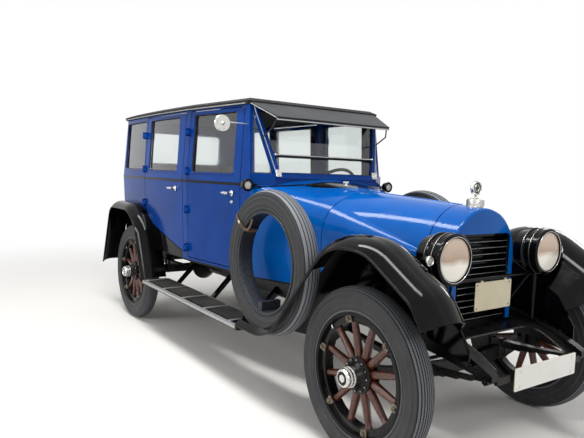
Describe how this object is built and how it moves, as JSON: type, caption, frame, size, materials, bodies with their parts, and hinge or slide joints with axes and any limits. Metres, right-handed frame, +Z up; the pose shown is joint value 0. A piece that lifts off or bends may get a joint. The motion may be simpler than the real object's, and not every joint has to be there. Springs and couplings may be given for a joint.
{
  "type": "vintage touring saloon car",
  "caption": "Closed four-door saloon of the 1920s with crowned fenders, side-mounted spare tyres, wood-spoke wheels, drum headlamps and an outside sun visor.",
  "frame": {"origin": "on the ground under the middle of the car, halfway between its foremost and rearmost points", "axes": "+X forward, +Y to the car's left, +Z up"},
  "size_m": [4.4916, 1.694, 1.955],
  "materials": {
    "body_blue": "gloss blue paint",
    "black_paint": "gloss black paint",
    "chassis_black": "worn black paint",
    "cast_iron": "bare castings",
    "nickel": "nickel plate",
    "roof_cloth": "coated cloth",
    "visor_cloth": "grey grained cloth",
    "glass": "clear",
    "lamp_glass": "clear",
    "tyre_rubber": "worn rubber",
    "spoke_wood": "varnished",
    "leather": "worn",
    "floor_wood": "painted boards",
    "plate_paint": "matt",
    "red_lens": "clear red"
  },
  "bodies": {
    "chassis": {"body_shell": "body_blue", "roof": "roof_cloth", "cowl": "body_blue", "cowl_vent": "black_paint", "windshield_frame": "body_blue", "fixed_glass": "glass", "sun_visor": "visor_cloth", "radiator_shell": "body_blue", "radiator_grille": "black_paint", "radiator_cap": "nickel", "lamps": "black_paint", "lamp_lenses": "lamp_glass", "front_fenders": "black_paint", "rear_fenders": "black_paint", "running_boards": "black_paint", "frame": "chassis_black", "springs": "chassis_black", "front_axle": "chassis_black", "rear_axle": "chassis_black", "engine_block": "cast_iron", "fuel_tank": "chassis_black", "floor": "floor_wood", "front_seat": "leather", "rear_seat": "leather", "dashboard": "black_paint", "mirror": "nickel", "number_plates": "plate_paint", "tail_lamp": "black_paint", "spare_tyres": "tyre_rubber", "spare_rims": "chassis_black"},
    "door_front_left": {"door_front_left": "body_blue", "door_glass_front_left": "glass"},
    "door_front_right": {"door_front_right": "body_blue", "door_glass_front_right": "glass"},
    "door_rear_left": {"door_rear_left": "body_blue", "door_glass_rear_left": "glass"},
    "door_rear_right": {"door_rear_right": "body_blue", "door_glass_rear_right": "glass"},
    "hood_left": {"hood_left": "body_blue"},
    "hood_right": {"hood_right": "body_blue"},
    "hood_side_left": {"hood_side_left": "body_blue"},
    "hood_side_right": {"hood_side_right": "body_blue"},
    "steering_wheel": {"steering_wheel": "spoke_wood"},
    "knuckle_left": {"knuckle_left": "chassis_black"},
    "knuckle_right": {"knuckle_right": "chassis_black"},
    "tie_rod": {"tie_rod": "chassis_black"},
    "wheel_front_left": {"wheel_front_left": "spoke_wood", "tyre_front_left": "tyre_rubber"},
    "wheel_front_right": {"wheel_front_right": "spoke_wood", "tyre_front_right": "tyre_rubber"},
    "wheel_rear_left": {"wheel_rear_left": "spoke_wood", "tyre_rear_left": "tyre_rubber"},
    "wheel_rear_right": {"wheel_rear_right": "spoke_wood", "tyre_rear_right": "tyre_rubber"}
  },
  "joints": [
    {"name": "steer_left", "type": "hinge", "parent": "chassis", "child": "knuckle_left", "pos_m": [1.701, 0.626, 0.441], "axis": [0, 0, 1], "range_deg": [-28, 28]},
    {"name": "steer_right", "type": "hinge", "parent": "chassis", "child": "knuckle_right", "pos_m": [1.701, -0.626, 0.441], "axis": [0, 0, 1], "range_deg": [-28, 28]},
    {"name": "tie_rod_swing", "type": "hinge", "parent": "knuckle_left", "child": "tie_rod", "pos_m": [1.551, 0.626, 0.371], "axis": [0, 0, 1], "range_deg": [-28, 28]},
    {"name": "wheel_front_left_roll", "type": "hinge", "parent": "knuckle_left", "child": "wheel_front_left", "pos_m": [1.701, 0.711, 0.441], "axis": [0, 1, 0], "continuous": true},
    {"name": "wheel_front_right_roll", "type": "hinge", "parent": "knuckle_right", "child": "wheel_front_right", "pos_m": [1.701, -0.711, 0.441], "axis": [0, 1, 0], "continuous": true},
    {"name": "wheel_rear_left_roll", "type": "hinge", "parent": "chassis", "child": "wheel_rear_left", "pos_m": [-1.534, 0.711, 0.441], "axis": [0, 1, 0], "continuous": true},
    {"name": "wheel_rear_right_roll", "type": "hinge", "parent": "chassis", "child": "wheel_rear_right", "pos_m": [-1.534, -0.711, 0.441], "axis": [0, 1, 0], "continuous": true},
    {"name": "steering_wheel_turn", "type": "hinge", "parent": "chassis", "child": "steering_wheel", "pos_m": [0.081, 0.345, 1.29], "axis": [-0.788, 0, 0.6157], "range_deg": [-420, 420]},
    {"name": "door_front_left_hinge", "type": "hinge", "parent": "chassis", "child": "door_front_left", "pos_m": [-0.457, 0.713, 1.26], "axis": [0, 0, 1], "range_deg": [0, 60]},
    {"name": "door_rear_left_hinge", "type": "hinge", "parent": "chassis", "child": "door_rear_left", "pos_m": [-1.352, 0.728, 1.4], "axis": [0, 0, 1], "range_deg": [0, 60]},
    {"name": "hood_left_hinge", "type": "hinge", "parent": "chassis", "child": "hood_left", "pos_m": [1.681, 0, 1.279], "axis": [0.9986, 0, -0.0525], "range_deg": [0, 60]},
    {"name": "hood_side_left_hinge", "type": "hinge", "parent": "hood_left", "child": "hood_side_left", "pos_m": [1.681, 0.262, 1.022], "axis": [0.9814, -0.1918, 0], "range_deg": [-60, 0]},
    {"name": "door_front_right_hinge", "type": "hinge", "parent": "chassis", "child": "door_front_right", "pos_m": [-0.457, -0.713, 1.26], "axis": [0, 0, -1], "range_deg": [0, 60]},
    {"name": "door_rear_right_hinge", "type": "hinge", "parent": "chassis", "child": "door_rear_right", "pos_m": [-1.352, -0.728, 1.4], "axis": [0, 0, -1], "range_deg": [0, 60]},
    {"name": "hood_right_hinge", "type": "hinge", "parent": "chassis", "child": "hood_right", "pos_m": [1.681, 0, 1.279], "axis": [-0.9986, 0, 0.0525], "range_deg": [0, 60]},
    {"name": "hood_side_right_hinge", "type": "hinge", "parent": "hood_right", "child": "hood_side_right", "pos_m": [1.681, -0.262, 1.022], "axis": [-0.9814, -0.1918, 0], "range_deg": [-60, 0]}
  ],
  "couplings": [
    {"joint": "steer_right", "follows": "steer_left", "ratio": 1},
    {"joint": "tie_rod_swing", "follows": "steer_left", "ratio": -1},
    {"joint": "steering_wheel_turn", "follows": "steer_left", "ratio": 15},
    {"joint": "hood_side_left_hinge", "follows": "hood_left_hinge", "ratio": -1},
    {"joint": "hood_side_right_hinge", "follows": "hood_right_hinge", "ratio": -1}
  ]
}
